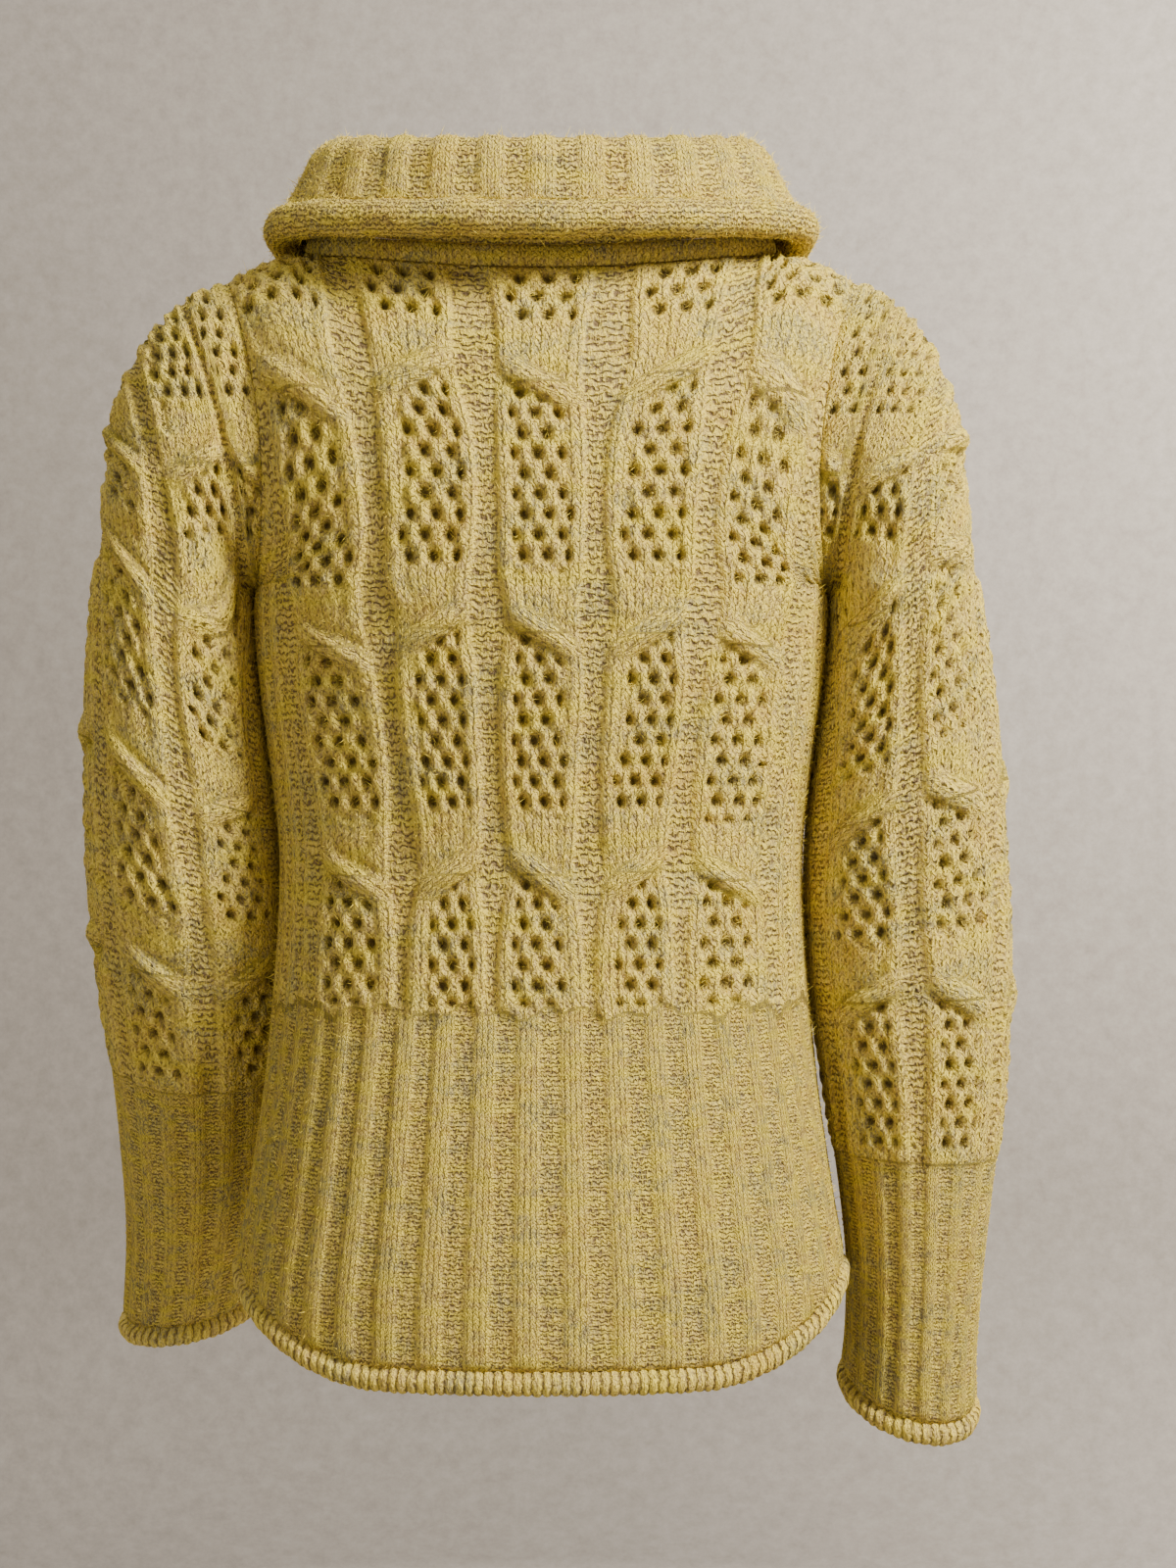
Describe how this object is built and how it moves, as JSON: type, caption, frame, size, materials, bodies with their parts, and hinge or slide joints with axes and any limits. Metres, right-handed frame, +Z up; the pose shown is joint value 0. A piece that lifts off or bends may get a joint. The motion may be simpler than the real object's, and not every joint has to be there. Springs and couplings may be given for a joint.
{
  "type": "cable knit cardigan",
  "caption": "Hollow worn form of a buttoned cable and lace knit cardigan with a wide rolled collar, ribbed lower body and long sleeves with rolled edges.",
  "frame": {"origin": "centre of the neck opening at shoulder height, where the wearer's shoulders hold the cardigan", "axes": "+Z up, +Y the way the wearer faces, +X towards the wearer's right side; the pictured back faces -Y"},
  "size_m": [0.565, 0.2916, 0.795],
  "materials": {
    "yarn": "matte, brushed, heathered pale yellow wool and mohair knit",
    "horn": "satin brown horn"
  },
  "bodies": {
    "root": {"back": "yarn", "front_left": "yarn", "front_right": "yarn", "sleeve_left": "yarn", "sleeve_right": "yarn", "collar": "yarn", "collar_roll": "yarn", "neck_band": "yarn", "hem_back": "yarn", "hem_front_left": "yarn", "hem_front_right": "yarn", "cuff_left": "yarn", "cuff_right": "yarn", "button_band_left": "yarn", "button_band_right": "yarn", "button_1": "horn", "button_2": "horn", "button_3": "horn", "button_4": "horn", "button_5": "horn", "button_6": "horn"}
  },
  "joints": []
}
